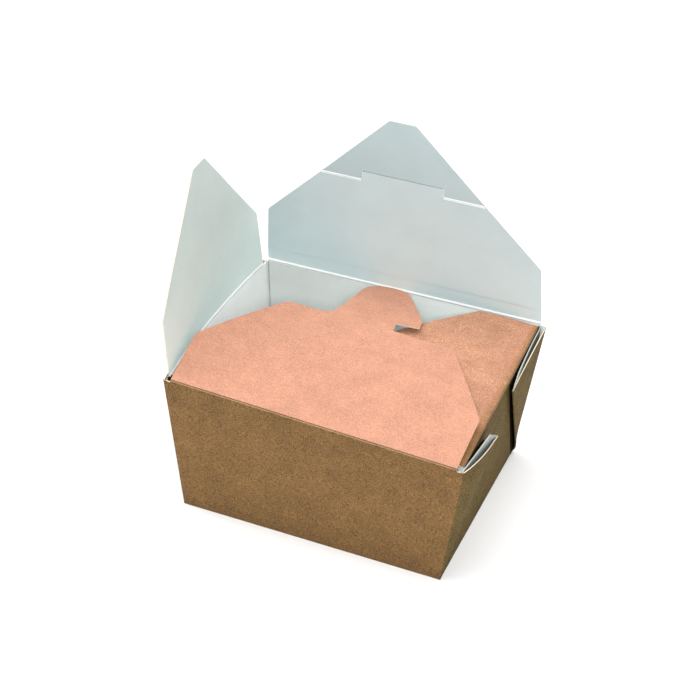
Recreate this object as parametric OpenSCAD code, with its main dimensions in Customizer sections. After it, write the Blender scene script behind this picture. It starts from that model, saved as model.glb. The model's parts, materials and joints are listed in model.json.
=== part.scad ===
/* [Body] */
// outside width of the rim between the corner folds
rim_w = 130; // [90:1:200]
// outside depth of the rim between the corner folds
rim_d = 101; // [70:1:160]
// width of the base
base_w = 115; // [76:0.5:186]
// depth of the base
base_d = 92.5; // [62:0.5:152]
// height of the body at its rim
body_h = 64.5; // [40:0.5:120]
// thickness of the coated board
board = 0.45; // [0.3:0.05:0.8]
// rise and fall of opposite rim corners left by folding by hand
rim_twist = 2.1; // [0:0.1:3]

/* [Corner webs] */
// distance of the left end wall inside the rim corners
left_inset = 1.3; // [1.2:0.1:5]
// distance of the right end wall inside the rim corners
right_inset = 2.4; // [1.5:0.1:5]
// distance of the tip of the folded web from the middle of the end wall
web_mid = 13; // [8:0.1:30]
// height of the tip of the folded web
web_tip_h = 57.6; // [35:0.1:110]
// distance the tips of the left webs stand off the end wall
web_stand_left = 2; // [1.5:0.1:6]
// distance the tip of the right front web stands off the end wall
web_stand_front = 5.3; // [2:0.1:6]
// distance the tip of the right back web stands off the end wall
web_stand_back = 2; // [1.5:0.1:6]
// width of the upper edge of the web before it turns down to the tip
web_shoulder_w = 29.8; // [15:0.1:40]
// length of the web along the corner fold at that shoulder
web_shoulder_l = 59.2; // [36:0.1:112]

/* [End flaps] */
// length of the left and right flaps from fold to tip
side_len = 73.4; // [50:0.1:95]
// length of their straight ends
side_end_len = 25.6; // [12:0.1:35]
// width of their narrow tip
side_tip_w = 10.9; // [6:0.1:30]
// inset of their ends from the front and back walls
side_inset = 3; // [1.5:0.1:5]
// angle of the left flap, opened from closed
left_open = 98.9; // [95:0.5:130]
// angle of the right flap above closed
right_open = 0.8; // [0.2:0.1:3]

/* [Front flap] */
// inset of the front flap at each end of its fold
front_inset = 2.9; // [2.5:0.1:5]
// half width of the front flap at its side corners
front_half_w = 61.7; // [42:0.1:96]
// length of its straight ends
front_end_len = 26.8; // [12:0.1:40]
// half width of its free edge
front_edge_half_w = 36.8; // [28:0.1:70]
// length of the flap from fold to free edge
front_len = 64; // [42:0.1:80]
// gap between the end of its tongue and the back of the rim
tongue_clear = 1; // [0.5:0.1:6]
// reach of the tongue left of the middle
tongue_left = 15.8; // [10:0.1:22]
// reach of the tongue's hook right of the middle
tongue_right = 18.8; // [12:0.1:24]
// rise of the bowed sheet over its chord
front_bow = 7; // [4:0.1:12]
// width of the notch under the hook of the tongue
notch_w = 5.8; // [3:0.1:7]
// depth of the notch under the hook of the tongue
notch_deep = 9.2; // [5:0.1:12]

/* [Lid] */
// inset of the lid at each end of its fold
lid_inset = 3.3; // [3.2:0.1:5]
// half width of the lid at its side corners
lid_half_w = 61.7; // [42:0.1:96]
// length of its straight ends
lid_end_len = 27.7; // [12:0.1:40]
// distance of the crease of the tip from the fold
lid_crease = 54.1; // [40:0.1:80]
// half width of the lid at that crease
lid_crease_half_w = 36.5; // [28:0.1:70]
// length of the lid from fold to tip
lid_len = 86.9; // [66:0.1:140]
// width of the blunt tip
lid_tip_w = 11.6; // [6:0.1:30]
// width of the slit that takes the tongue
slit_w = 36; // [24:0.5:50]
// height of the strip between the crease and the slit
slit_high = 4.5; // [3:0.1:8]
// angle of the lid, opened from closed
lid_open = 85.9; // [60:0.1:100]

/* [Hidden] */
// thickness of a pressed fold line, a little more than the board
fold_d = board * 1.75;
// a pressed fold runs a little past the tip of a web
fold_past = 0.25;
// distance from a base corner to the webs, which leave it open to a pinhole
pinhole = 1.2;
// distance from a hinge line to the board of its flap
hinge_gap = fold_d / 2 + 0.2;
// rise of the front fold and of the lid fold over the end folds
front_lift = 0.6;
lid_lift = 1.4;
// gap of the cut lines
cut_gap = 0.3;
// inner half of a web at the rim, in parts of the end wall's inset
web_leaf = 0.45;
// where the crease of a web starts, in parts of the pinhole
crease_start = 0.75;
// narrowing of the end flaps' straight ends
side_taper = 0.5;
// corner radii of the outlines: cut corners, small and large rounded ones
cut_r = 0.6;
small_r = 2;
large_r = 5;
arc_steps = 6;
foot_z = board / 2;
rise = body_h - foot_z;

// vectors and frames
function unit(v) = v / norm(v);
function across(v, e) = unit(v - e * (v * e));
function turn(x, y) = let (z = cross(x, y)) [atan2(y.z, z.z), -asin(x.z), atan2(x.y, x.x)];

// round off the corners of an outline, each given as x, y and radius
function corner(p, q, s, r) =
    r == 0 ? [q] :
    let (
        a = unit(p - q),
        b = unit(s - q),
        half = acos(a * b) / 2,
        mid = q + unit(a + b) * r / sin(half),
        from = q + a * r / tan(half) - mid,
        to = q + b * r / tan(half) - mid,
        start = atan2(from.y, from.x),
        sweep = (atan2(to.y, to.x) - start + 540) % 360 - 180
    )
    [for (i = [0:arc_steps]) let (t = start + sweep * i / arc_steps) mid + r * [cos(t), sin(t)]];
function xy(p) = [p.x, p.y];
function rounded(pts) = let (n = len(pts))
    [for (i = [0:n - 1]) each corner(xy(pts[(i + n - 1) % n]), xy(pts[i]), xy(pts[(i + 1) % n]), pts[i].z)];
function mirrored(pts) = [for (i = [len(pts) - 1:-1:0]) [-pts[i].x, pts[i].y, pts[i].z]];

// corners of the body, on the middle of the board, named by side and end
function lift_k(sx, sy) = 1 + sx * sy * rim_twist / rise;
function foot(sx, sy) = [sx * base_w / 2, sy * base_d / 2, foot_z];
function edge(sx, sy) = [sx * (rim_w - base_w) / 2, sy * (rim_d - base_d) / 2, rise];
function below(sx, sy) = foot(sx, sy) - edge(sx, sy) * board * 2 / rise;
function rim(sx, sy) = foot(sx, sy) + edge(sx, sy) * lift_k(sx, sy);
function inset(sx) = sx < 0 ? left_inset : right_inset;
function end_below(sx, sy) = below(sx, sy) + [sx * inset(sx) * board * 2 / rise, 0, 0];
function end_rim(sx, sy) = rim(sx, sy) - [sx * inset(sx) * lift_k(sx, sy), 0, 0];
function web_rim(sx, sy) = rim(sx, sy) - [sx * inset(sx) * (1 - web_leaf) * lift_k(sx, sy), 0, 0];
function web_stand(sx, sy) = sx < 0 ? web_stand_left : sy < 0 ? web_stand_front : web_stand_back;
function end_lean(sx) = ((rim_w - base_w) / 2 - inset(sx)) / rise;
function web_tip(sx, sy) = foot(sx, sy) + lift_k(sx, sy) * [
    sx * (end_lean(sx) * (web_tip_h - foot_z) + web_stand(sx, sy)),
    sy * (web_mid - base_d / 2),
    web_tip_h - foot_z
];
function web_shoulder(sx, sy, top) =
    let (
        e = unit(top - foot(sx, sy)),
        f = across(web_tip(sx, sy) - foot(sx, sy), e)
    )
    foot(sx, sy) + (e * web_shoulder_l + f * web_shoulder_w) * lift_k(sx, sy);

// hinge frames: point, direction along the fold, direction of the closed flap
function up_wall(sx, sy) = unit([0, sy * (rim_d - base_d) / 2, rise]);
function fold_frame(a, b, lift, inward) =
    let (x = unit(b - a)) [(a + b) / 2 + lift, x, across(inward, x)];
front_hinge = fold_frame(rim(-1, -1), rim(1, -1), up_wall(0, -1) * front_lift, [0, 1, 0]);
lid_hinge = fold_frame(rim(1, 1), rim(-1, 1), up_wall(0, 1) * lid_lift, [0, -1, 0]);
left_hinge = fold_frame(end_rim(-1, 1), end_rim(-1, -1), [0, 0, 0], [1, 0, 0]);
right_hinge = fold_frame(end_rim(1, -1), end_rim(1, 1), [0, 0, 0], [-1, 0, 0]);
front_fold_half = rim_w / 2 - front_inset;
lid_fold_half = rim_w / 2 - lid_inset;
side_fold_half = rim_d / 2 - side_inset;

// a flat piece of board through corners in space
module sheet(p) {
    x = unit(p[1] - p[0]);
    y = across(p[2] - p[0], x);
    translate(p[0]) rotate(turn(x, y))
        linear_extrude(board, center = true)
            polygon([for (q = p) [(q - p[0]) * x, (q - p[0]) * y]]);
}
// a pressed fold line between two points
module fold_line(a, b) {
    d = b - a;
    translate(a) rotate([0, acos(d.z / norm(d)), atan2(d.y, d.x)])
        cylinder(h = norm(d), d = fold_d, $fn = 16);
}
module in_frame(f, angle = 0) {
    translate(f[0]) rotate(turn(f[1], f[2])) rotate([angle, 0, 0]) children();
}
module cut_board(outline) {
    linear_extrude(board, center = true) polygon(outline);
}

// walls at the front and back, each with its raised fold
module long_wall(sy, hinge, half) {
    a = hinge[0] + hinge[1] * half;
    b = hinge[0] - hinge[1] * half;
    s = hinge[1].x > 0 ? 1 : -1;
    sheet([below(-s, sy), below(s, sy), rim(s, sy), a, b, rim(-s, sy)]);
    fold_line(b, a);
}
// walls at the left and right
module end_wall(sx) {
    sheet([end_below(sx, -1), end_below(sx, 1), end_rim(sx, 1), end_rim(sx, -1)]);
}
// a corner web folded back on itself outside the end wall
module web(sx, sy) {
    f = foot(sx, sy);
    tip = web_tip(sx, sy);
    up_crease = unit(tip - f);
    for (top = [rim(sx, sy), web_rim(sx, sy)])
        sheet([f + unit(top - f) * pinhole, top, web_shoulder(sx, sy, top), tip, f + up_crease * pinhole]);
    fold_line(f + up_crease * pinhole * crease_start, tip + up_crease * fold_past);
}
// outline of the left and right flaps, from the fold at start
function side_edge(start) = [
    [side_fold_half, start, 0],
    [side_fold_half - side_taper, side_end_len, small_r],
    [side_tip_w / 2, side_len, small_r]
];
module side_flap(start) {
    cut_board(rounded(concat(side_edge(start), mirrored(side_edge(start)))));
}

module base_plate() {
    translate([-base_w / 2, -base_d / 2, -board]) cube([base_w, base_d, board * 2]);
}

// base, walls, webs and the closed right flap, cut flat at the underside
module carton_body() color("burlywood") difference() {
    union() {
        base_plate();
        for (s = [-1, 1]) {
            end_wall(s);
            for (t = [-1, 1]) web(s, t);
        }
        long_wall(-1, front_hinge, front_fold_half);
        long_wall(1, lid_hinge, lid_fold_half);
        for (h = [left_hinge, right_hinge])
            fold_line(h[0] - h[1] * side_fold_half, h[0] + h[1] * side_fold_half);
        in_frame(right_hinge, right_open) side_flap(0);
    }
    translate([-rim_w, -rim_d, -board * 4]) cube([rim_w * 2, rim_d * 2, board * 4]);
}

// outline of the front flap with its tongue, whose hook and notch are on the right;
// the tongue's curve is in parts of its width
front_tongue_len = rim_d - tongue_clear;
tongue_w = tongue_left + tongue_right;
hook_v = front_len + notch_w;
front_outline = [
    [-front_fold_half, hinge_gap, 0],
    [front_fold_half, hinge_gap, 0],
    [front_half_w, front_end_len, small_r],
    [front_edge_half_w, front_len, large_r],
    [tongue_right - notch_deep, front_len, cut_r],
    [tongue_right - notch_deep - cut_r, hook_v, cut_r],
    [tongue_right, hook_v + tongue_w * 0.05, cut_r],
    [tongue_right - tongue_w * 0.03, hook_v + tongue_w * 0.25, tongue_w * 0.25],
    [tongue_right - tongue_w * 0.21, hook_v + tongue_w * 0.58, tongue_w * 0.35],
    [tongue_right - tongue_w * 0.47, front_tongue_len, tongue_w * 0.2],
    [tongue_w * 0.075 - tongue_left, front_tongue_len, tongue_w * 0.23],
    [-tongue_left, front_len + tongue_w * 0.32, tongue_w * 0.4],
    [-tongue_left - tongue_w * 0.075, front_len, tongue_w * 0.17],
    [-front_edge_half_w, front_len, large_r],
    [-front_half_w, front_end_len, small_r]
];
bow_r = (pow(front_tongue_len, 2) / 4 + pow(front_bow, 2)) / (2 * front_bow);

module front_flap() color("tan") in_frame(front_hinge) intersection() {
    translate([0, front_tongue_len / 2, front_bow - bow_r]) rotate([0, 90, 0]) difference() {
        cylinder(h = rim_w, r = bow_r + board / 2, center = true, $fn = 360);
        cylinder(h = rim_w + 2, r = bow_r - board / 2, center = true, $fn = 360);
    }
    translate([0, 0, -front_bow]) linear_extrude(front_bow * 3) polygon(rounded(front_outline));
}

module left_flap() color("ivory") in_frame(left_hinge, left_open) side_flap(hinge_gap);

// lid up to the crease of its tip, with the strip that stays above the crease
module back_flap() color("ivory") in_frame(lid_hinge, lid_open) {
    side = [
        [lid_fold_half, hinge_gap, 0],
        [lid_half_w, lid_end_len, small_r],
        [lid_crease_half_w, lid_crease, 0],
        [slit_w / 2, lid_crease, 0],
        [slit_w / 2, lid_crease + slit_high, 0]
    ];
    cut_board(rounded(concat(side, mirrored(side))));
    for (s = [-1, 1])
        translate([s * (lid_crease_half_w + slit_w / 2) / 2, lid_crease, 0]) rotate([0, 90, 0])
            cylinder(h = lid_crease_half_w - slit_w / 2 - cut_gap, d = fold_d, center = true, $fn = 16);
}
// tip of the lid beyond its crease
module tuck_flap() color("ivory") in_frame(lid_hinge, lid_open) {
    slope = (lid_crease_half_w - lid_tip_w / 2) / (lid_len - lid_crease);
    start = lid_crease + hinge_gap;
    side = [
        [slit_w / 2 + cut_gap, lid_crease + slit_high + cut_gap, 0],
        [slit_w / 2 + cut_gap, start, 0],
        [lid_crease_half_w - hinge_gap * slope, start, 0],
        [lid_tip_w / 2, lid_len, small_r]
    ];
    cut_board(rounded(concat(side, mirrored(side))));
}

carton_body();
front_flap();
left_flap();
back_flap();
tuck_flap();
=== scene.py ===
"""The looks of a takeaway box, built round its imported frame. Lengths are in millimetres up to the mesh."""
import json
import math

import bmesh
import bpy
from mathutils import Matrix, Vector


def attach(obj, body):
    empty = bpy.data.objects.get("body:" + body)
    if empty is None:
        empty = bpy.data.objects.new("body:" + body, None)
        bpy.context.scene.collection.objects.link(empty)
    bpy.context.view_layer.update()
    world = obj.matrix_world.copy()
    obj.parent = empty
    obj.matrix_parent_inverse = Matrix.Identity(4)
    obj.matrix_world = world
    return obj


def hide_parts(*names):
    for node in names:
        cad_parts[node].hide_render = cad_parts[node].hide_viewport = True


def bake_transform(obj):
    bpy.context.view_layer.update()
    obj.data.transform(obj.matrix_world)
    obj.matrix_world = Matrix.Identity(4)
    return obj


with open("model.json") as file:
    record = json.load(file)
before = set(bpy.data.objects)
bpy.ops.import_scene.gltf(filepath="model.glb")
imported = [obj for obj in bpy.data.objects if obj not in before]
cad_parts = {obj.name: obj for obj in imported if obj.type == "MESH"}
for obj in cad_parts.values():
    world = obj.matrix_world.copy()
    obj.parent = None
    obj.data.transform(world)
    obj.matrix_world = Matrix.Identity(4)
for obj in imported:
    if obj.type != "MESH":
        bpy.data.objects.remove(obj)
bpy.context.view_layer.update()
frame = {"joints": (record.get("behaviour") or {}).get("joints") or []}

# Driving sizes, the same as the part's
RIM_W, RIM_D = 130, 101
BASE_W, BASE_D = 115, 92.5
BODY_H = 64.5
BOARD = 0.45
RIM_TWIST = 2.1
SIDE_LEN, SIDE_END_LEN, SIDE_TIP_W, SIDE_INSET = 73.4, 25.6, 10.9, 3
FRONT_INSET, FRONT_HALF_W, FRONT_END_LEN = 2.9, 61.7, 26.8
FRONT_EDGE_HALF_W, FRONT_LEN, TONGUE_CLEAR, FRONT_BOW = 36.8, 64, 1, 7
TONGUE_LEFT, TONGUE_RIGHT, NOTCH_W, NOTCH_DEEP = 15.8, 18.8, 5.8, 9.2
FRONT_TONGUE_LEN = RIM_D - TONGUE_CLEAR
LID_INSET, LID_HALF_W, LID_END_LEN = 3.3, 61.7, 27.7
LID_CREASE, LID_CREASE_HALF_W, LID_LEN, LID_TIP_W = 54.1, 36.5, 86.9, 11.6
SLIT_W, SLIT_HIGH, CUT_GAP = 36, 4.5, 0.3
LEFT_OPEN, LID_OPEN = 98.9, 85.9
HINGE_GAP = 0.59

# Radii of the flaps' corners: plain ones, those beside the tongue and those of the notch
CORNER_R, EDGE_CORNER_R, NOTCH_R = 2, 5, 0.6
SIDE_TAPER, NOTCH_SLANT = 0.5, 0.6

# How the photographed box departs from its drawing, by side (-1 left, 1 right) and end (-1 front, 1 back).
# First how far the end walls' rims and slopes stand in from the corners
END_INSET = {(-1, -1): 1.3, (-1, 1): 1.3, (1, -1): 1.1, (1, 1): 2.9}
WALL_INSET = {-1: 1.3, 1: 2.4}
# Each web: middle and height of its tip, its stand off the wall, how far its crease bows off the wall,
# the start of its inner half, and the shoulder's width, place along the corner and outward bulge
# of its outer and inner half
LEFT_WEB = (12.4, 57.1, 4.6, 0.0, 1.0, (29.8, 59.2, 0.6), (29.8, 60, 0.6))
WEBS = {
    (-1, -1): LEFT_WEB,
    (-1, 1): LEFT_WEB,
    (1, -1): (12.4, 57.1, 5.2, 0.0, 0.8, (30.0, 59.4, 1.7), (26.3, 65.2, 0.2)),
    (1, 1): (12.75, 57.6, 2.1, 1.9, 2.0, (29.1, 58.3, -0.1), (30.8, 60.1, -0.5)),
}
# A web's bulge is full at this distance from the box's foot, and its crease's bow starts over this share
WEB_REACH, CREASE_SPREAD = 65, 0.06
# Sheets of painted shadow on the wall behind the webs on the right: each one's lean at the foot and at
# the top, and the share of the web where that top is
POCKET_SHADOWS = {(1, 1): (3.2, 2.6, 1.0), (1, -1): (0.0, 0.0, 0.95)}
POCKET_PROUD = 0.06
# Fold corners that stand further out than drawn
LID_CORNER, LEFT_CORNER, RIGHT_CORNER = 0.9, 1.3, 1.9
# Outward bow of the left wall at its rim, and how fast it grows up the wall
LEFT_BOW, BOW_GROWTH = 2.5, 1.5
# The closed right flap rises from its fold at a slope and curves down again
RIGHT_SLOPE, RIGHT_CURVE = 0.15, 0.0025
NOTCH_RISE = 0.8
# The tongue's right end lifts by this much, from this place across it, over this width, steeply at its tip
TONGUE_LIFT, LIFT_FROM, LIFT_REACH, LIFT_CURVE = 1.2, -14, 12, 12

# Folds: how far the bent board reaches from a fold, and how much of that the walls stop short of it
FOLD_REACH, RIGHT_REACH, TIP_REACH = 1.0, 0.7, 0.6
SINK_SHARE = 0.9
# The bent board is a little thicker than the sheets that run into it
FOLD_COVER = 1.08
# Heights of the white beads, how narrow they are, and the steps at each side of a fold that stay plain
LEFT_BEAD, LID_BEAD, TIP_BEAD_HIGH = 0.3, 0.35, 0.15
BEAD_POWER, BEAD_MARGIN = 4, 3
# The first stretch of the lid and the left flap is built into the fold's strip, and the sheets start a seam
# before its end
LID_BEND, LEFT_BEND, SEAM = 7.0, 9.0, 0.15
# A short fold bends over this much on each side of its line
FOLD_STEPS, BEND_STEPS, CREASE_STEPS, ARC_STEPS, ROD_SIDES = 12, 8, 24, 8, 10
# A rod that is more upright than this share of its length takes its ring's first axis from X
UPRIGHT = 0.9
# Side of a mesh cell on a plain sheet, on a curved one and along a fold
CELL, FINE_CELL, STRIP_CELL = 4.0, 3.0, 3
# Points nearer than the first are one, and slopes are taken over the second
MERGE, SLOPE_STEP = 0.02, 0.5
# Radii of the rods, as shares of the board: pressed lines at the box edges, web edges and web creases, and a
# line of painted shade in the back left corner
EDGE_ROD, WEB_ROD, CREASE_ROD, CORNER_ROD = 0.5, 0.5, 0.85, 0.3
CORNER_LINE = Vector((3, -1, 0)) * BOARD
# Small boards in the front corners: depth under the rim, tuck under the folds, tuck inwards, reach back
PATCH_DROP, PATCH_TUCK, PATCH_IN, PATCH_EDGE = 0.35, 1.5, 3, 0.5

FOOT_Z = BOARD / 2
RISE = BODY_H - FOOT_Z
MM = 0.001
X, Y, Z = Vector((1, 0, 0)), Vector((0, 1, 0)), Vector((0, 0, 1))
HALF_FRONT = RIM_W / 2 - FRONT_INSET
HALF_SIDE = RIM_D / 2 - SIDE_INSET
HALF_LID = RIM_W / 2 - LID_INSET + LID_CORNER

# Camera of the photograph, fitted to the box's corners and outlines
IMAGE = 700
SENSOR = 36.0
FOCAL_PX = 2484.8
CLIP_START, CLIP_END = 0.01, 20
CAM_AZIMUTH, CAM_ELEVATION, CAM_ROLL = 19.90, 36.80, 3.20
CAM_DISTANCE = 1.08985
CAM_TARGET = Vector((-0.0197, 0.04377, 0.032))


def make_camera():
    azimuth, elevation = math.radians(CAM_AZIMUTH), math.radians(CAM_ELEVATION)
    back = Vector((
        math.sin(azimuth) * math.cos(elevation),
        -math.cos(azimuth) * math.cos(elevation),
        math.sin(elevation),
    ))
    right = (-back).cross(Z).normalized()
    up = right.cross(-back)
    roll = math.radians(CAM_ROLL)
    right, up = right * math.cos(roll) + up * math.sin(roll), up * math.cos(roll) - right * math.sin(roll)
    data = bpy.data.cameras.new("camera")
    data.sensor_width = SENSOR
    data.lens = FOCAL_PX / IMAGE * SENSOR
    data.clip_start, data.clip_end = CLIP_START, CLIP_END
    camera = bpy.data.objects.new("camera", data)
    turn = Matrix((right, up, back)).transposed().to_4x4()
    camera.matrix_world = Matrix.Translation(CAM_TARGET + back * CAM_DISTANCE) @ turn
    bpy.context.scene.collection.objects.link(camera)
    bpy.context.scene.camera = camera


# Places in the body, by side (-1 left, 1 right) and end (-1 front, 1 back)
def twist_share(sx, sy):
    """Length of a corner's edge, as a share of the untwisted box's."""
    return 1 + sx * sy * RIM_TWIST / RISE


def foot(sx, sy):
    return Vector((sx * BASE_W / 2, sy * BASE_D / 2, FOOT_Z))


def edge(sx, sy):
    return Vector((sx * (RIM_W - BASE_W) / 2, sy * (RIM_D - BASE_D) / 2, RISE))


def rim(sx, sy):
    return foot(sx, sy) + edge(sx, sy) * twist_share(sx, sy)


def end_rim(sx, sy):
    return rim(sx, sy) - X * (sx * END_INSET[sx, sy] * twist_share(sx, sy))


def web_tip(sx, sy):
    mid, height, stand = WEBS[sx, sy][:3]
    lean = ((RIM_W - BASE_W) / 2 - WALL_INSET[sx]) / RISE
    high = height - FOOT_Z
    reach = Vector((sx * (lean * high + stand), sy * (mid - BASE_D / 2), high))
    return foot(sx, sy) + reach * twist_share(sx, sy)


def wall_up(sy):
    return Vector((0, sy * (RIM_D - BASE_D) / 2, RISE)).normalized()


def end_up(sx):
    return Vector((sx * ((RIM_W - BASE_W) / 2 - WALL_INSET[sx]), 0, RISE)).normalized()


def across(vector, along):
    """The part of vector that is square to along, at length 1."""
    return (vector - along * vector.dot(along)).normalized()


def axes_matrix(origin, x, y):
    matrix = Matrix((x, y, x.cross(y))).transposed().to_4x4()
    matrix.translation = origin
    return matrix


def axis(place, i):
    return place.to_3x3().col[i].copy()


def along_x(place, distance):
    return place.translation + place.to_3x3() @ Vector((distance, 0, 0))


def fold_frame(joint, inward):
    """Frame on a fold: x along it, y along the closed flap, z up from the closed flap."""
    found = next(j for j in frame["joints"] if j["name"] == joint)
    x = Vector(found["axis"]).normalized()
    return axes_matrix(Vector(found["pos_m"]) / MM, x, across(inward, x))


def opened(place, degrees):
    return place @ Matrix.Rotation(math.radians(degrees), 4, "X")


FRONT = fold_frame("front_flap_fold", Y)
LEFT = opened(fold_frame("left_flap_fold", X), LEFT_OPEN)
LID = opened(fold_frame("lid_fold", -Y), LID_OPEN)
right_x = (end_rim(1, 1) - end_rim(1, -1)).normalized()
RIGHT = axes_matrix((end_rim(1, 1) + end_rim(1, -1)) / 2, right_x, across(-X, right_x))


# Outlines
def corner(before, at, after, radius):
    """Points of the arc that rounds the corner at, between its two neighbours."""
    if radius == 0:
        return [at]
    a, b = (before - at).normalized(), (after - at).normalized()
    half = a.angle(b) / 2
    mid = at + (a + b).normalized() * radius / math.sin(half)
    start = at + a * radius / math.tan(half) - mid
    end = at + b * radius / math.tan(half) - mid
    first = math.atan2(start.y, start.x)
    sweep = (math.atan2(end.y, end.x) - first + 3 * math.pi) % (2 * math.pi) - math.pi
    turns = [first + sweep * i / ARC_STEPS for i in range(ARC_STEPS + 1)]
    return [mid + radius * Vector((math.cos(t), math.sin(t))) for t in turns]


def rounded(corners):
    points = [Vector(c[:2]) for c in corners]
    outline = []
    for i, point in enumerate(points):
        outline += corner(points[i - 1], point, points[(i + 1) % len(points)], corners[i][2])
    return outline


def both_sides(side):
    """The side's corners and their mirror image, as one closed outline that runs anticlockwise."""
    return rounded(side + [(-x, y, r) for x, y, r in reversed(side)])


def side_flap_outline(start, wider=0.0):
    """A side flap, whose first corner on the fold may stand out by wider."""
    outline = both_sides([
        (HALF_SIDE, start, 0),
        (HALF_SIDE - SIDE_TAPER, SIDE_END_LEN, CORNER_R),
        (SIDE_TIP_W / 2, SIDE_LEN, CORNER_R),
    ])
    outline[0].x += wider
    return outline


def front_outline():
    """The front flap. The rounding of its tongue goes by shares of the tongue's width."""
    low = FRONT_LEN + NOTCH_RISE
    hook = low + NOTCH_W
    notch = TONGUE_RIGHT - NOTCH_DEEP
    wide = TONGUE_LEFT + TONGUE_RIGHT
    return rounded([
        (-HALF_FRONT, FOLD_REACH, 0),
        (HALF_FRONT, FOLD_REACH, 0),
        (FRONT_HALF_W, FRONT_END_LEN, CORNER_R),
        (FRONT_EDGE_HALF_W, FRONT_LEN, EDGE_CORNER_R),
        (notch, low, NOTCH_R),
        (notch - NOTCH_SLANT, hook, NOTCH_R),
        (TONGUE_RIGHT, hook + wide * 0.05, NOTCH_R),
        (TONGUE_RIGHT - wide * 0.03, hook + wide * 0.25, wide * 0.25),
        (TONGUE_RIGHT - wide * 0.20, hook + wide * 0.50, wide * 0.35),
        (TONGUE_RIGHT - wide * 0.42, FRONT_TONGUE_LEN, wide * 0.20),
        (wide * 0.075 - TONGUE_LEFT, FRONT_TONGUE_LEN, wide * 0.23),
        (-TONGUE_LEFT, FRONT_LEN + wide * 0.32, wide * 0.4),
        (-TONGUE_LEFT - wide * 0.075, FRONT_LEN, wide * 0.17),
        (-FRONT_EDGE_HALF_W, FRONT_LEN, EDGE_CORNER_R),
        (-FRONT_HALF_W - LEFT_CORNER, FRONT_END_LEN, CORNER_R),
    ])


def lid_outline():
    return both_sides([
        (HALF_LID, LID_BEND - SEAM, 0),
        (LID_HALF_W, LID_END_LEN, CORNER_R),
        (LID_CREASE_HALF_W, LID_CREASE, 0),
        (SLIT_W / 2, LID_CREASE, 0),
        (SLIT_W / 2, LID_CREASE + SLIT_HIGH, 0),
    ])


def tip_outline():
    slope = (LID_CREASE_HALF_W - LID_TIP_W / 2) / (LID_LEN - LID_CREASE)
    start = LID_CREASE + HINGE_GAP
    return both_sides([
        (SLIT_W / 2 + CUT_GAP, LID_CREASE + SLIT_HIGH + CUT_GAP, 0),
        (SLIT_W / 2 + CUT_GAP, start, 0),
        (LID_CREASE_HALF_W - HINGE_GAP * slope, start, 0),
        (LID_TIP_W / 2, LID_LEN, CORNER_R),
    ])


# Materials, whose noise is in lumps to the metre
KRAFT_CLOUDS, KRAFT_FIBRES, KRAFT_GRAINS = 110, 650, 2000
WHITE_CLOUDS, WHITE_FIBRES = 60, 420
EDGE_LAYERS = 1800
FIBRE_DEPTH, KRAFT_BUMP, WHITE_BUMP = 0.0001, 0.3, 0.12


def node_material(name, roughness, sheen=0.0, specular=0.5):
    material = bpy.data.materials.new(name)
    material.use_nodes = True
    nodes, links = material.node_tree.nodes, material.node_tree.links
    shader = nodes["Principled BSDF"]
    shader.inputs["Roughness"].default_value = roughness
    shader.inputs["Sheen Weight"].default_value = sheen
    shader.inputs["Specular IOR Level"].default_value = specular
    return material, nodes, links, shader


def noise_node(nodes, links, coordinates, scale, detail=4.0, rough=0.55, stretch=(1, 1, 1)):
    mapping = nodes.new("ShaderNodeMapping")
    mapping.inputs["Scale"].default_value = stretch
    texture = nodes.new("ShaderNodeTexNoise")
    texture.inputs["Scale"].default_value = scale
    texture.inputs["Detail"].default_value = detail
    texture.inputs["Roughness"].default_value = rough
    links.new(coordinates, mapping.inputs["Vector"])
    links.new(mapping.outputs["Vector"], texture.inputs["Vector"])
    return texture.outputs["Fac"]


def ramp(nodes, links, value, stops):
    node = nodes.new("ShaderNodeValToRGB")
    elements = node.color_ramp.elements
    while len(elements) < len(stops):
        elements.new(0.5)
    for element, (position, colour) in zip(elements, stops):
        element.position = position
        element.color = (*colour, 1)
    links.new(value, node.inputs["Fac"])
    return node.outputs["Color"]


def multiply(nodes, links, a, b):
    node = nodes.new("ShaderNodeMix")
    node.data_type = "RGBA"
    node.blend_type = "MULTIPLY"
    node.inputs["Factor"].default_value = 1.0
    links.new(a, node.inputs[6])
    links.new(b, node.inputs[7])
    return node.outputs[2]


def add_bump(nodes, links, shader, height, strength):
    bump = nodes.new("ShaderNodeBump")
    bump.inputs["Strength"].default_value = strength
    bump.inputs["Distance"].default_value = FIBRE_DEPTH
    links.new(height, bump.inputs["Height"])
    links.new(bump.outputs["Normal"], shader.inputs["Normal"])


def shaded(colour, share):
    return tuple(share * c for c in colour)


def grey(level):
    return (level,) * 3


def fade(nodes, links, place, base, along, stops):
    """Painted light and shade: a slow change of tone along x (0), y (1) or z (2). Stops are (metres,
    share of the base colour), where the share is one number or one for each of red, green and blue."""
    first, last = stops[0][0], stops[-1][0]
    split = nodes.new("ShaderNodeSeparateXYZ")
    links.new(place, split.inputs["Vector"])
    reach = nodes.new("ShaderNodeMapRange")
    reach.inputs["From Min"].default_value = first
    reach.inputs["From Max"].default_value = last
    links.new(split.outputs[along], reach.inputs["Value"])
    tones = []
    for at, share in stops:
        tones.append(((at - first) / (last - first), share if isinstance(share, tuple) else grey(share)))
    return multiply(nodes, links, base, ramp(nodes, links, reach.outputs["Result"], tones))


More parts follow.
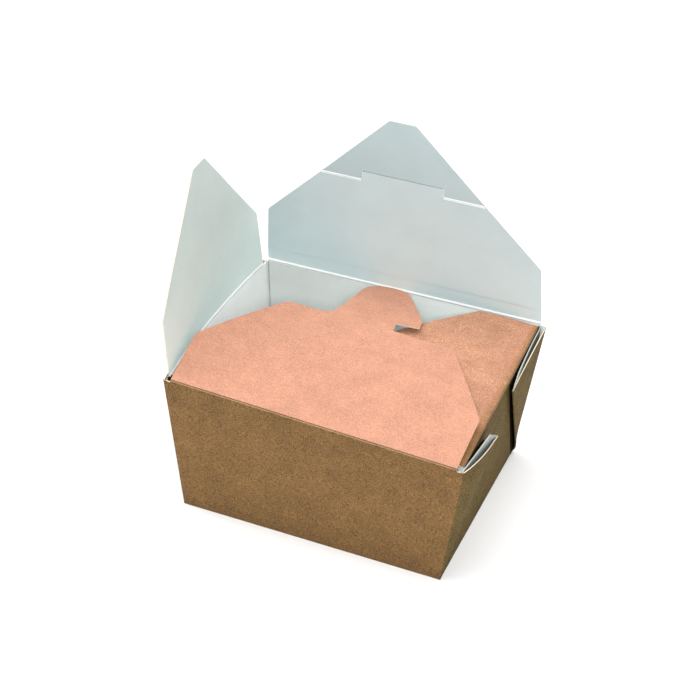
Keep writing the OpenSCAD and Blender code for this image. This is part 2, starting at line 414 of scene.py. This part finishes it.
def kraft(name, colour, cloud=0.1, grain=0.3, sheen=0.05, specular=0.25, tones=()):
    """Unbleached kraft board: cloudy colour, short felted fibres and fine grain."""
    material, nodes, links, shader = node_material(name, 0.82, sheen=sheen, specular=specular)
    place = nodes.new("ShaderNodeTexCoord").outputs["Object"]
    clouds = noise_node(nodes, links, place, KRAFT_CLOUDS, rough=0.6)
    fibres = noise_node(nodes, links, place, KRAFT_FIBRES, rough=0.7, stretch=(0.8, 1, 1))
    grains = noise_node(nodes, links, place, KRAFT_GRAINS, detail=2, rough=0.7)
    cloud_stops = [(0.35, shaded(colour, 1 - cloud)), (0.65, shaded(colour, 1 + cloud))]
    fibre_stops = [(0.34, grey(1 - grain / 4)), (0.66, grey(1 + grain / 4))]
    dark = (1 - grain, 1 - 1.1 * grain, 1 - 1.2 * grain)
    grain_stops = [(0.34, dark), (0.5, grey(1)), (0.66, grey(1 + grain))]
    base = ramp(nodes, links, clouds, cloud_stops)
    base = multiply(nodes, links, base, ramp(nodes, links, fibres, fibre_stops))
    base = multiply(nodes, links, base, ramp(nodes, links, grains, grain_stops))
    # Painted light and shade from tones
    for along, stops in tones:
        base = fade(nodes, links, place, base, along, stops)
    links.new(base, shader.inputs["Base Color"])
    add_bump(nodes, links, shader, fibres, KRAFT_BUMP)
    return material


def coated_white(name, colour, tones=()):
    """White coated side of the board: smooth, a little cool, with faint fibres showing through."""
    material, nodes, links, shader = node_material(name, 0.48, specular=0.4)
    place = nodes.new("ShaderNodeTexCoord").outputs["Object"]
    clouds = noise_node(nodes, links, place, WHITE_CLOUDS)
    fibres = noise_node(nodes, links, place, WHITE_FIBRES, detail=5, rough=0.65, stretch=(0.5, 1, 1))
    base = ramp(nodes, links, clouds, [(0.35, shaded(colour, 0.98)), (0.65, shaded(colour, 1.02))])
    base = multiply(nodes, links, base, ramp(nodes, links, fibres, [(0.3, grey(0.975)), (0.7, grey(1))]))
    # Painted light and shade from tones
    for along, stops in tones:
        base = fade(nodes, links, place, base, along, stops)
    links.new(base, shader.inputs["Base Color"])
    add_bump(nodes, links, shader, fibres, WHITE_BUMP)
    return material


def cut_board_edge(name, colour):
    material, nodes, links, shader = node_material(name, 0.9, specular=0.2)
    place = nodes.new("ShaderNodeTexCoord").outputs["Object"]
    layers = noise_node(nodes, links, place, EDGE_LAYERS, detail=3)
    shades = ramp(nodes, links, layers, [(0.3, shaded(colour, 0.85)), (0.7, colour)])
    links.new(shades, shader.inputs["Base Color"])
    return material


# Painted light and shade over the panels, as slow changes of tone: (axis, stops along it)
# Front, back and end walls darker at the foot and lighter in the middle: painted shade and light
WALL_LIGHT_AND_SHADE = [(2, [(0, 0.84), (0.012, 0.97), (0.035, 1.06), (0.055, 0.98), (0.066, 0.93)])]
# The right flap darker and browner towards its front end and along its fold: painted shade
RIGHT_FLAP_SHADE = [
    (1, [(-0.048, (0.66, 0.63, 0.4)), (-0.034, (0.74, 0.72, 0.5)), (-0.018, (1, 1, 1))]),
    (0, [(0.0595, (1, 1, 1)), (0.0612, (0.8, 0.78, 0.65))]),
]
# The left flap's coated side lighter low down near its fold and a little darker at the top: painted light
# and shade
LEFT_FLAP_LIGHT_AND_SHADE = [(2, [(0.066, 1.4), (0.08, 1.2), (0.1, 1.02), (0.14, 0.93)])]
# The lid darker towards its ends, most at the left, and lighter low down near its fold: painted shade and
# light
LID_LIGHT_AND_SHADE = [
    (0, [(-0.062, 0.86), (-0.045, 0.98), (-0.02, 1.01), (0.062, 0.93)]),
    (2, [(0.066, 1.25), (0.08, 1.12), (0.1, 0.96), (0.12, 0.89)]),
]
# The back wall's inside darker to the left, lighter to the right and lighter at the foot: painted shade and
# light
BACK_LIGHT_AND_SHADE = [
    (0, [(-0.06, 0.84), (-0.045, 0.93), (-0.02, 1.06), (0.02, 1.22)]),
    (2, [(0.046, 1.12), (0.054, 1.0)]),
]
END_LOOK = {"cloud": 0.12, "grain": 0.7, "sheen": 0.0, "specular": 0.08}
WALL_KRAFT = kraft("wall_kraft", (0.172, 0.092, 0.0292), grain=0.52, tones=WALL_LIGHT_AND_SHADE)
# The end walls and their webs: the walls' kraft in a darker, less red copy, painted shade
END_SHADED_KRAFT = kraft("end_shaded_kraft", (0.123, 0.0838, 0.029), tones=WALL_LIGHT_AND_SHADE, **END_LOOK)
# The front and right flaps: the walls' kraft in lighter, pinker copies where they face up, painted light
FLAP_LIT_KRAFT = kraft("flap_lit_kraft", (0.461, 0.2255, 0.1474), cloud=0.07, grain=0.2)
RIGHT_FLAP_LIT_KRAFT = kraft("right_flap_lit_kraft", (0.405, 0.203, 0.122), cloud=0.12, tones=RIGHT_FLAP_SHADE)
FOLD_KRAFT = kraft("fold_kraft", (0.20, 0.115, 0.053))
# A paler band and a darker band along the front fold's bend
FOLD_PALE = kraft("fold_pale", (0.33, 0.20, 0.12))
FOLD_DEEP = kraft("fold_deep", (0.15, 0.075, 0.038))
# Near black kraft, painted shadow: on the wall behind the right webs, the webs' inner leaves and the front
# left corner
POCKET_SHADOW_KRAFT = kraft("pocket_shadow_kraft", (0.010, 0.007, 0.004), sheen=0.0, specular=0.02)
# The white coating comes in copies that differ from piece to piece, painted light and shade: lightest on the
# walls' insides, darker on the back wall's inside, darker still on the left flap and the lid, darkest on the
# tip
LEFT_WHITE = coated_white("left_flap_white", (0.521, 0.60, 0.574), tones=LEFT_FLAP_LIGHT_AND_SHADE)
LID_WHITE = coated_white("lid_white", (0.53, 0.63, 0.642), tones=LID_LIGHT_AND_SHADE)
TIP_WHITE = coated_white("tip_white", (0.397, 0.483, 0.495))
WALL_WHITE = coated_white("wall_white", (0.92, 0.94, 0.92))
# Grey copy of the white coating, painted shade: the webs' coated sides and the front right corner board
POCKET_SHADE_WHITE = coated_white("pocket_shade_white", (0.27, 0.31, 0.29))
# Lighter white along the tip's raised beads than on the lid and the tip: painted highlight
TIP_CREASE_HIGHLIGHT = coated_white("tip_crease_highlight_white", (0.58, 0.67, 0.68))
BACK_WHITE = coated_white("back_wall_white", (0.70, 0.745, 0.725), tones=BACK_LIGHT_AND_SHADE)
# Lighter white along the raised beads of the left flap's and the lid's folds: painted highlight
BEAD_HIGHLIGHT_WHITE = coated_white("bead_highlight_white", (0.78, 0.82, 0.81))
CREASE_SHADE = coated_white("crease_shade", (0.22, 0.26, 0.24))
CUT_EDGE = cut_board_edge("cut_edge", (0.75, 0.62, 0.47))
# Dark grey cut edge of the lid and its tip, painted shade, which also draws the slit as a dark line
LID_EDGE = cut_board_edge("lid_edge", (0.34, 0.40, 0.38))
# Grey cut edge, painted shade: the webs' inner leaves and the front right corner board
POCKET_SHADE_EDGE = cut_board_edge("pocket_shade_edge", (0.42, 0.43, 0.39))
SKINS = [
    WALL_KRAFT, END_SHADED_KRAFT, FLAP_LIT_KRAFT, RIGHT_FLAP_LIT_KRAFT, FOLD_KRAFT, FOLD_PALE, FOLD_DEEP, POCKET_SHADOW_KRAFT,
    LEFT_WHITE, LID_WHITE, TIP_WHITE, WALL_WHITE, BACK_WHITE, POCKET_SHADE_WHITE, TIP_CREASE_HIGHLIGHT, BEAD_HIGHLIGHT_WHITE,
    CREASE_SHADE, CUT_EDGE, LID_EDGE, POCKET_SHADE_EDGE,
]

# Kraft side of each fold, from the wall to the flap
PLAIN_FOLD = [FOLD_KRAFT] * FOLD_STEPS
FRONT_SKINS = [WALL_KRAFT] * 4 + [FOLD_PALE] * 2 + [FOLD_DEEP] * 3 + [FLAP_LIT_KRAFT] * 3
RIGHT_SKINS = [END_SHADED_KRAFT] * 3 + [FOLD_KRAFT] * 8 + [RIGHT_FLAP_LIT_KRAFT]


# Board pieces
def build(name, parts):
    """One object from parts, each a list of points, one of (corners, material) and one of sharp lines."""
    mesh = bpy.data.meshes.new(name)
    points, faces, skins, sharp = [], [], [], set()
    for part_points, part_faces, part_sharp in parts:
        start = len(points)
        points += [p * MM for p in part_points]
        faces += [[start + i for i in corners] for corners, _ in part_faces]
        skins += [skin for _, skin in part_faces]
        sharp |= {frozenset((start + a, start + b)) for a, b in part_sharp}
    mesh.from_pydata(points, [], faces)
    used = [skin for skin in SKINS if skin in skins]
    for skin in used:
        mesh.materials.append(skin)
    mesh.polygons.foreach_set("material_index", [used.index(skin) for skin in skins])
    mesh.polygons.foreach_set("use_smooth", [True] * len(faces))
    for line in mesh.edges:
        line.use_edge_sharp = frozenset(line.vertices) in sharp
    mesh.update()
    piece = bpy.data.objects.new(name, mesh)
    bpy.context.scene.collection.objects.link(piece)
    return piece


def flat(u, v):
    return 0.0


def grid_net(outline, cell):
    """A flat face on the outline, cut along the lines of a square grid."""
    net = bmesh.new()
    net.faces.new([net.verts.new((p.x, p.y, 0)) for p in outline])
    for i, normal in enumerate((X, Y)):
        low, high = min(p[i] for p in outline), max(p[i] for p in outline)
        for k in range(math.ceil(low / cell), math.floor(high / cell) + 1):
            whole = net.verts[:] + net.edges[:] + net.faces[:]
            bmesh.ops.bisect_plane(net, geom=whole, dist=MERGE, plane_co=normal * k * cell, plane_no=normal)
    bmesh.ops.remove_doubles(net, verts=net.verts[:], dist=MERGE)
    if sum(face.normal.z for face in net.faces) < 0:
        bmesh.ops.reverse_faces(net, faces=net.faces[:])
    net.verts.index_update()
    return net


def board(outline, place, rise=flat, outside=1, cell=CELL, kraft_skin=WALL_KRAFT, white_skin=WALL_WHITE,
          edge_skin=CUT_EDGE):
    """A sheet of board on an outline in its own plane. Its middle rises by rise(u, v).
    outside is 1 where its kraft side faces up the plane's normal, and -1 where its white side does."""
    net = grid_net(outline, cell)
    points = []
    for side in (1, -1):
        for u, v in ((vert.co.x, vert.co.y) for vert in net.verts):
            slope_u = (rise(u + SLOPE_STEP, v) - rise(u - SLOPE_STEP, v)) / (2 * SLOPE_STEP)
            slope_v = (rise(u, v + SLOPE_STEP) - rise(u, v - SLOPE_STEP)) / (2 * SLOPE_STEP)
            normal = Vector((-slope_u, -slope_v, 1)).normalized()
            points.append(place @ (Vector((u, v, rise(u, v))) + normal * side * BOARD / 2))
    n = len(net.verts)
    top, bottom = (kraft_skin, white_skin) if outside > 0 else (white_skin, kraft_skin)
    faces, sharp = [], []
    for face in net.faces:
        corners = [vert.index for vert in face.verts]
        faces.append((corners, top))
        faces.append(([n + i for i in reversed(corners)], bottom))
    for line in net.edges:
        if len(line.link_faces) == 1:
            loop = line.link_loops[0]
            a, b = loop.vert.index, loop.link_loop_next.vert.index
            faces.append(([b, a, n + a, n + b], edge_skin))
            sharp += [(a, b), (n + a, n + b)]
    net.free()
    return points, faces, sharp


def on_plane(corners):
    """The plane through corners in space, and the same corners in it."""
    x = (corners[1] - corners[0]).normalized()
    place = axes_matrix(corners[0], x, across(corners[2] - corners[0], x))
    inverse = place.inverted()
    return place, [(inverse @ c).to_2d() for c in corners]


def panel(corners, outside, **more):
    place, outline = on_plane(corners)
    return board(outline, place, outside=outside, **more)


def unbowed(t):
    return Vector((0, 0, 0))


def left_bow(t):
    """Outward bow of the left wall along its rim, t from -1 to 1."""
    return -X * LEFT_BOW * (1 - t * t)


def fold_profile(down, out, reach, bead, bend):
    """Rows of a bent board from the wall to the flap: its middle, its half thickness, the height of its bead
    and its share of the fold's bow."""
    rows = []
    for i in range(FOLD_STEPS + 1):
        t = i / FOLD_STEPS
        middle = down * reach * (1 - t) ** 2 + out * reach * t ** 2
        rows.append((middle, BOARD / 2 * FOLD_COVER, bead * math.sin(math.pi * t) ** BEAD_POWER, 1.0))
    for i in range(BEND_STEPS if bend else 0):
        v = reach + (bend - reach) * (i + 1) / BEND_STEPS
        rows.append((out * v, BOARD / 2, 0.0, (1 - v / SIDE_LEN) ** 2))
    return rows


def fold_strip(a, b, down, out, inside, outer=PLAIN_FOLD, bead=0.0, reach=FOLD_REACH, bow=unbowed,
               bead_skin=BEAD_HIGHLIGHT_WHITE, bend=None, sheet_skins=None):
    """Board bent round the fold from a to b: it comes up against direction down and leaves in direction out.
    inside points to the white side, which carries a bead; bow(t) shifts the fold from end to end.
    bend is how far the strip goes on along the sheet, in sheet_skins (white, kraft, edge)."""
    length = (b - a).length
    along = (b - a).normalized()
    rows = fold_profile(down, out, reach, bead, bend)
    steps = len(rows) - 1
    inner, outer_row = [], []
    for i, (middle, half, high, _) in enumerate(rows):
        run = (rows[min(i + 1, steps)][0] - rows[max(i - 1, 0)][0]).normalized()
        normal = along.cross(run).normalized()
        if normal.dot(inside) < 0:
            normal = -normal
        inner.append(middle + normal * (half + high))
        outer_row.append(middle - normal * half)
    cells = max(2, round(length / STRIP_CELL))
    points = []
    for j in range(cells + 1):
        at = a.lerp(b, j / cells)
        shift = bow((2 * j / cells - 1) * length / RIM_D)
        for side in (inner, outer_row):
            points += [at + point + shift * row[3] for point, row in zip(side, rows)]
    whites, krafts, edges = [WALL_WHITE] * FOLD_STEPS, list(outer), [CUT_EDGE] * FOLD_STEPS
    if bead:
        beaded = FOLD_STEPS - 2 * BEAD_MARGIN
        whites[BEAD_MARGIN:-BEAD_MARGIN] = [bead_skin] * beaded
    if bend:
        for skins, sheet_skin in zip((whites, krafts, edges), sheet_skins):
            skins += [sheet_skin] * BEND_STEPS
    n = steps + 1
    faces, sharp = [], []
    for j in range(cells):
        lo, hi = j * 2 * n, (j + 1) * 2 * n
        for i in range(steps):
            faces.append(([lo + i, lo + i + 1, hi + i + 1, hi + i], whites[i]))
            faces.append(([lo + n + i, hi + n + i, hi + n + i + 1, lo + n + i + 1], krafts[i]))
        for i in (0, steps):
            quad = [lo + i, hi + i, hi + n + i, lo + n + i]
            faces.append((quad if i == 0 else quad[::-1], krafts[min(i, steps - 1)]))
            sharp += [(lo + i, hi + i), (lo + n + i, hi + n + i)]
    for j in (0, cells):
        start = j * 2 * n
        for i in range(start, start + steps):
            quad = [i, i + n, i + n + 1, i + 1]
            faces.append((quad if j == 0 else quad[::-1], edges[i - start]))
            sharp += [(i, i + 1), (i + n, i + n + 1)]
    if along.cross(rows[-1][0] - rows[0][0]).dot(inside) > 0:
        faces = [(corners[::-1], skin) for corners, skin in faces]
    return points, faces, sharp


def rod(line, radius, skin):
    """A pressed fold line seen from outside: a thin round bead along line, with closed ends."""
    along = (line[-1] - line[0]).normalized()
    first = across(Z if abs(along.z) < UPRIGHT else X, along)
    second = along.cross(first)
    turns = [2 * math.pi * i / ROD_SIDES for i in range(ROD_SIDES)]
    ring = [first * math.cos(t) + second * math.sin(t) for t in turns]
    points = [p + r * radius for p in line for r in ring]
    pairs = [(i, (i + 1) % ROD_SIDES) for i in range(ROD_SIDES)]
    last = (len(line) - 1) * ROD_SIDES
    faces = []
    for s in range(0, last, ROD_SIDES):
        faces += [([s + i, s + k, s + ROD_SIDES + k, s + ROD_SIDES + i], skin) for i, k in pairs]
    faces += [(list(range(ROD_SIDES))[::-1], skin), (list(range(last, last + ROD_SIDES)), skin)]
    sharp = [(s + i, s + k) for s in (0, last) for i, k in pairs]
    return points, faces, sharp


# Curved sheets: how far each rises off its plane at u across and v along it
def front_rise(u, v):
    radius = (FRONT_TONGUE_LEN ** 2 / 4 + FRONT_BOW ** 2) / (2 * FRONT_BOW)
    arc = math.sqrt(radius ** 2 - (v - FRONT_TONGUE_LEN / 2) ** 2) - radius + FRONT_BOW
    lift = min(1.0, max(0.0, (u - LIFT_FROM) / LIFT_REACH)) * (v / FRONT_TONGUE_LEN) ** LIFT_CURVE
    return arc + TONGUE_LIFT * lift


def right_rise(u, v):
    return RIGHT_SLOPE * v - RIGHT_CURVE * v * v


def left_rise(u, v):
    t = u / (RIM_D / 2)
    return LEFT_BOW * max(0.0, 1 - t * t) * (1 - v / SIDE_LEN) ** 2


def long_wall(sy, place, half):
    sink = -wall_up(sy) * FOLD_REACH * SINK_SHARE
    ends = sorted((along_x(place, -half) + sink, along_x(place, half) + sink), key=lambda p: p.x)
    corners = [foot(-1, sy), foot(1, sy), rim(1, sy), ends[1], ends[0], rim(-1, sy)]
    return panel(corners, outside=-sy, white_skin=WALL_WHITE if sy < 0 else BACK_WHITE)


def end_wall(sx):
    place, reach = (LEFT, FOLD_REACH) if sx < 0 else (RIGHT, RIGHT_REACH)
    ends = sorted((along_x(place, -HALF_SIDE), along_x(place, HALF_SIDE)), key=lambda p: -p.y)
    ends = [p - end_up(sx) * reach * SINK_SHARE for p in ends]
    corners = [foot(sx, -1), foot(sx, 1), end_rim(sx, 1), ends[0], ends[1], end_rim(sx, -1)]
    plane, outline = on_plane(corners)
    out = 1 if axis(plane, 2).x * sx > 0 else -1
    high = max(p.y for p in outline)

    def rise(u, v):
        t = (u - BASE_D / 2) / (RIM_D / 2)
        return out * LEFT_BOW * max(0.0, 1 - t * t) * max(0.0, v / high) ** BOW_GROWTH

    skins = {"kraft_skin": END_SHADED_KRAFT, "edge_skin": WALL_WHITE if sx < 0 else END_SHADED_KRAFT}
    return board(outline, plane, rise=rise if sx < 0 else flat, outside=out, **skins)


def crease_bow(size, s):
    """How far a web's crease bows off the wall at the share s of its length."""
    return size * (1 - s) * (1 - math.exp(-s / CREASE_SPREAD))


def web_leaf(sx, sy, top, shoulder, bow):
    """Half of a web, from the corner line that ends at top to the web's tip.
    Gives the sheet, and 1 where its plane faces away from the box or -1 where it faces the wall."""
    low, tip = foot(sx, sy), web_tip(sx, sy)
    shoulder_w, shoulder_at, bulge = shoulder
    k = twist_share(sx, sy)
    up = (top - low).normalized()
    place = axes_matrix(low, up, across(tip - low, up))
    end = (place.inverted() @ tip).to_2d()
    corner_end = Vector(((top - low).length, 0))
    outline = [Vector((0, 0)), corner_end, Vector((shoulder_at * k, shoulder_w * k)), end]
    out = 1 if axis(place, 2).x * sx > 0 else -1
    fan = math.atan2(end.y, end.x)

    def rise(u, v):
        far = math.hypot(u, v)
        t = min(1.0, max(0.0, math.atan2(v, u) / fan))
        curl = bulge * far / WEB_REACH * 4 * t * (1 - t)
        return out * (curl + t * crease_bow(bow, min(1.0, far / end.length)))

    return {"outline": outline, "place": place, "rise": rise}, out


def web(sx, sy):
    """A corner's web: an outer and an inner leaf, whose coated sides face each other, and their crease."""
    bow, start, outer, inner = WEBS[sx, sy][3:]
    # Darkened copies, painted shade in the pocket between web and wall: the inner leaf's kraft side and cut
    # edge, and both leaves' coated sides
    outer_skins = {"kraft_skin": END_SHADED_KRAFT, "edge_skin": CUT_EDGE}
    inner_skins = {"kraft_skin": POCKET_SHADOW_KRAFT, "edge_skin": POCKET_SHADE_EDGE}
    top = rim(sx, sy)
    leaves = [(top, outer, 1, outer_skins), (top - X * sx * start, inner, -1, inner_skins)]
    parts = []
    for leaf_top, shoulder, kraft_out, skins in leaves:
        leaf, out = web_leaf(sx, sy, leaf_top, shoulder, bow)
        facing = out * kraft_out
        parts.append(board(**leaf, outside=facing, cell=FINE_CELL, white_skin=POCKET_SHADE_WHITE, **skins))
        parts.append(rod([foot(sx, sy), leaf_top], BOARD * WEB_ROD, END_SHADED_KRAFT))
    low, tip = foot(sx, sy), web_tip(sx, sy)
    shares = [i / CREASE_STEPS for i in range(CREASE_STEPS + 1)]
    crease = [low.lerp(tip, s) + X * sx * crease_bow(bow, s) for s in shares]
    parts.append(rod(crease, BOARD * CREASE_ROD, END_SHADED_KRAFT))
    return parts


def pocket_shadow(sx, sy):
    """A sheet of painted shadow on the wall behind a web. Its near edge leans by low at the foot and high
    at the top, which is at the share of the web's height."""
    low, high, share = POCKET_SHADOWS[sx, sy]
    off = X * sx * POCKET_PROUD
    start = foot(sx, sy)
    on_wall = web_tip(sx, sy) - X * sx * WEBS[sx, sy][2] * twist_share(sx, sy)
    top = start.lerp(on_wall, share)
    corners = [start + off, end_rim(sx, sy) + off, top + off + Y * sy * high, start + off - Y * sy * low]
    return panel(corners, outside=sx * sy, kraft_skin=POCKET_SHADOW_KRAFT, edge_skin=POCKET_SHADOW_KRAFT)


def corner_patch(sx, place, **skins):
    """The board that closes a front corner under the ends of its folds."""
    drop = Z * PATCH_DROP
    flap_end = along_x(place, -sx * HALF_SIDE) - drop
    fold_end = along_x(FRONT, sx * HALF_FRONT) - drop
    return panel([
        rim(sx, -1) - drop,
        flap_end + Y * PATCH_TUCK,
        flap_end + Vector((-sx * PATCH_IN, PATCH_TUCK, 0)),
        fold_end - X * sx * PATCH_TUCK + Y * PATCH_EDGE,
    ], outside=-1, **skins)


def make_shell():
    parts = [panel([foot(-1, -1), foot(1, -1), foot(1, 1), foot(-1, 1)], outside=-1)]
    parts.append(long_wall(-1, FRONT, HALF_FRONT))
    parts.append(long_wall(1, LID, HALF_LID))
    for s in (-1, 1):
        parts.append(end_wall(s))
        parts.append(rod([foot(-1, s), foot(1, s)], BOARD * EDGE_ROD, WALL_KRAFT))
        parts.append(rod([foot(s, -1), foot(s, 1)], BOARD * EDGE_ROD, WALL_KRAFT))
        for t in (-1, 1):
            parts += web(s, t)
    parts += [pocket_shadow(sx, sy) for sx, sy in POCKET_SHADOWS]
    # Both front corner boards are darkened, painted shade: the right one's coated side and cut edge grey,
    # the left one near black
    parts.append(corner_patch(1, RIGHT, white_skin=POCKET_SHADE_WHITE, edge_skin=POCKET_SHADE_EDGE))
    parts.append(corner_patch(-1, LEFT, kraft_skin=POCKET_SHADOW_KRAFT, white_skin=POCKET_SHADOW_KRAFT))
    # A dark grey line down the back left inner corner: painted shade
    corner_line = [foot(-1, 1) + CORNER_LINE, end_rim(-1, 1) + CORNER_LINE]
    parts.append(rod(corner_line, BOARD * CORNER_ROD, CREASE_SHADE))
    outline = side_flap_outline(RIGHT_REACH, RIGHT_CORNER)
    parts.append(board(outline, RIGHT, rise=right_rise, kraft_skin=RIGHT_FLAP_LIT_KRAFT))
    out = (axis(RIGHT, 1) + axis(RIGHT, 2) * RIGHT_SLOPE).normalized()
    a, b = along_x(RIGHT, -HALF_SIDE), along_x(RIGHT, HALF_SIDE + RIGHT_CORNER)
    parts.append(fold_strip(a, b, -end_up(1), out, -X - Z, outer=RIGHT_SKINS, reach=RIGHT_REACH))
    shell = build("carton_shell", parts)
    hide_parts("carton_body")
    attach(shell, "carton")


def make_fold(name, place, half, down, out, inside, child, slot, parent="carton", bend=None, **more):
    """A fold's strip of bent board, built in place between two sheets. A long strip bends all along bend."""
    a, b = along_x(place, -half), along_x(place, half)
    strip = build(name, [fold_strip(a, b, down, out, inside, bend=bend, **more)])
    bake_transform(strip)


def make_front_flap():
    sheet = board(front_outline(), FRONT, rise=front_rise, cell=FINE_CELL, kraft_skin=FLAP_LIT_KRAFT)
    flap = build("front_flap_sheet", [sheet])
    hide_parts("front_flap")
    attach(flap, "front_flap")
    slope = math.atan(4 * FRONT_BOW / FRONT_TONGUE_LEN)
    out = axis(FRONT, 1) * math.cos(slope) + axis(FRONT, 2) * math.sin(slope)
    make_fold("front_fold", FRONT, HALF_FRONT, -wall_up(-1), out, Y - Z, "front_flap", "kraft_board",
              outer=FRONT_SKINS)


def make_left_flap():
    sheet = board(side_flap_outline(LEFT_BEND - SEAM), LEFT, rise=left_rise, white_skin=LEFT_WHITE)
    flap = build("left_flap_sheet", [sheet])
    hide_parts("left_flap")
    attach(flap, "left_flap")
    make_fold("left_fold", LEFT, HALF_SIDE, -end_up(-1), axis(LEFT, 1), X, "left_flap", "coated_board",
              bead=LEFT_BEAD, bow=left_bow, bend=LEFT_BEND, sheet_skins=(LEFT_WHITE, WALL_KRAFT, CUT_EDGE))


def make_lid():
    sheet = board(lid_outline(), LID, white_skin=LID_WHITE, edge_skin=LID_EDGE)
    lid = build("lid_sheet", [sheet])
    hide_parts("back_flap")
    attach(lid, "lid")
    y = axis(LID, 1)
    make_fold("lid_fold", LID, HALF_LID, -wall_up(1), y, -Y, "lid", "coated_board",
              bead=LID_BEAD, bend=LID_BEND, sheet_skins=(LID_WHITE, WALL_KRAFT, LID_EDGE))
    sheet = board(tip_outline(), LID, white_skin=TIP_WHITE, edge_skin=LID_EDGE)
    tip = build("lid_tip_sheet", [sheet])
    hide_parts("tuck_flap")
    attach(tip, "lid_tip")
    crease = LID @ Matrix.Translation((0, LID_CREASE, 0))
    low, high = SLIT_W / 2 + CUT_GAP, LID_CREASE_HALF_W
    for name, side in (("tip_fold_right", -1), ("tip_fold_left", 1)):
        place = crease @ Matrix.Translation((side * (low + high) / 2, 0, 0))
        make_fold(name, place, (high - low) / 2, -y, y, -Y, "lid_tip", "coated_board",
                  parent="lid", bead=TIP_BEAD_HIGH, reach=TIP_REACH, bead_skin=TIP_CREASE_HIGHLIGHT)


# Room: each soft light's place and side in metres, and its power in watts
SOFTBOXES = [
    ("top", (0, 0, 1.5), 1.6, 25.0),
    ("front", (0.46, -1.28, 1.08), 0.4, 14.0),
    ("front_left", (-1.2, -1.1, 0.9), 1.0, 3.2),
    ("right", (1.3, -0.3, 1.2), 1.0, 4.7),
    ("left", (-1.3, 0.2, 1.3), 1.0, 14.5),
]
LIGHT_TARGET = Vector((0, 0, 0.03))
WORLD_STRENGTH = 0.35
FLOOR_SIZE, FLOOR_GREY = 6, 0.86


def make_room():
    bpy.ops.mesh.primitive_plane_add(size=FLOOR_SIZE)
    floor = bpy.context.object
    floor.name = "floor"
    material, _, _, shader = node_material("floor_white", 0.9, specular=0.1)
    shader.inputs["Base Color"].default_value = (*grey(FLOOR_GREY), 1)
    floor.data.materials.append(material)
    world = bpy.data.worlds.new("world")
    bpy.context.scene.world = world
    world.use_nodes = True
    background = world.node_tree.nodes["Background"]
    background.inputs["Color"].default_value = (1, 1, 1, 1)
    background.inputs["Strength"].default_value = WORLD_STRENGTH
    for name, place, size, power in SOFTBOXES:
        area_light(name, Vector(place), size, power)


def area_light(name, place, size, power):
    data = bpy.data.lights.new(name, "AREA")
    data.size = size
    data.energy = power
    light = bpy.data.objects.new(name, data)
    light.location = place
    light.rotation_euler = (LIGHT_TARGET - place).to_track_quat("-Z", "Y").to_euler()
    bpy.context.scene.collection.objects.link(light)


bpy.context.scene.view_settings.view_transform = "Standard"
make_camera()
make_shell()
make_front_flap()
make_left_flap()
make_lid()
make_room()
